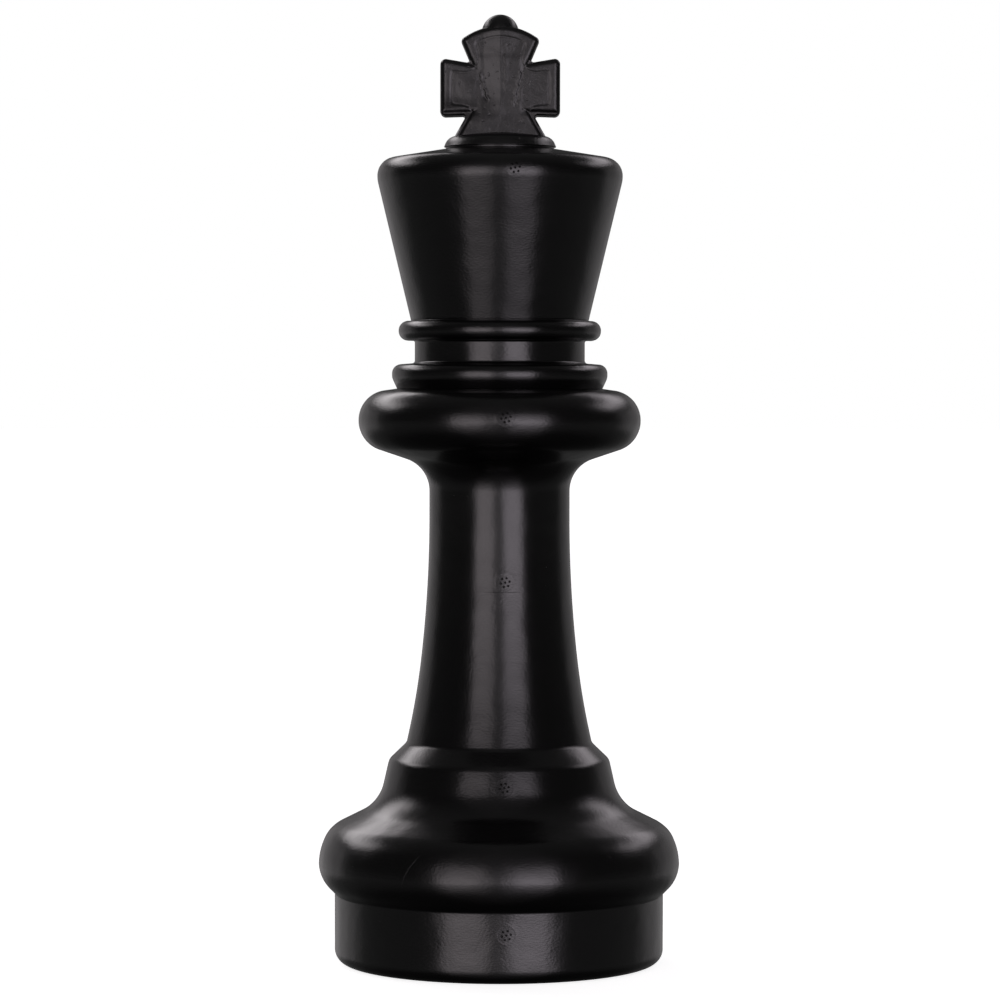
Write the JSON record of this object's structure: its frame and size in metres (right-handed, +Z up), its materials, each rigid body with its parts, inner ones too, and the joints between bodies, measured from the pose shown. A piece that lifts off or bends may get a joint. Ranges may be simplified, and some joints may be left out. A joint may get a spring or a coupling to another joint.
{
  "type": "giant chess piece",
  "caption": "Tall hollow lawn-game chess king: ballasted turned base with a collar, lift-off crown head and cross finial, screw plug underneath.",
  "frame": {"origin": "on the floor plane, at the axis of the round base", "axes": "+Z up along the axis, the cross faces -Y, its arms reach along X"},
  "size_m": [0.2417, 0.2418, 0.635],
  "materials": {
    "black_plastic": "satin",
    "cross_plastic": "matte",
    "plug_plastic": "satin",
    "hidden_plastic": "satin",
    "black_rubber": "matte",
    "sand": "matte"
  },
  "bodies": {
    "body": {"body_shell": "black_plastic", "sand_ballast": "sand"},
    "neck_ring": {"neck_o_ring": "black_rubber"},
    "head": {"head_shell": "black_plastic", "cross_finial": "cross_plastic", "finial_washer": "hidden_plastic", "finial_nut": "hidden_plastic"},
    "plug_seal": {"plug_gasket": "black_rubber"},
    "plug": {"fill_plug": "plug_plastic"}
  },
  "joints": [
    {"name": "head_turn", "type": "hinge", "parent": "body", "child": "neck_ring", "pos_m": [0, 0, 0.409], "axis": [0, 0, 1], "continuous": true},
    {"name": "head_lift", "type": "slide", "parent": "neck_ring", "child": "head", "axis": [0, 0, 1], "range_m": [0, 0.05]},
    {"name": "plug_travel", "type": "slide", "parent": "body", "child": "plug_seal", "axis": [0, 0, -1], "range_m": [0, 0.0152]},
    {"name": "plug_turn", "type": "hinge", "parent": "plug_seal", "child": "plug", "pos_m": [0, 0, 0.01], "axis": [0, 0, -1], "range_deg": [0, 1080]}
  ],
  "couplings": [
    {"joint": "plug_travel", "follows": "plug_turn", "m_per_rad": 0.00079577}
  ]
}
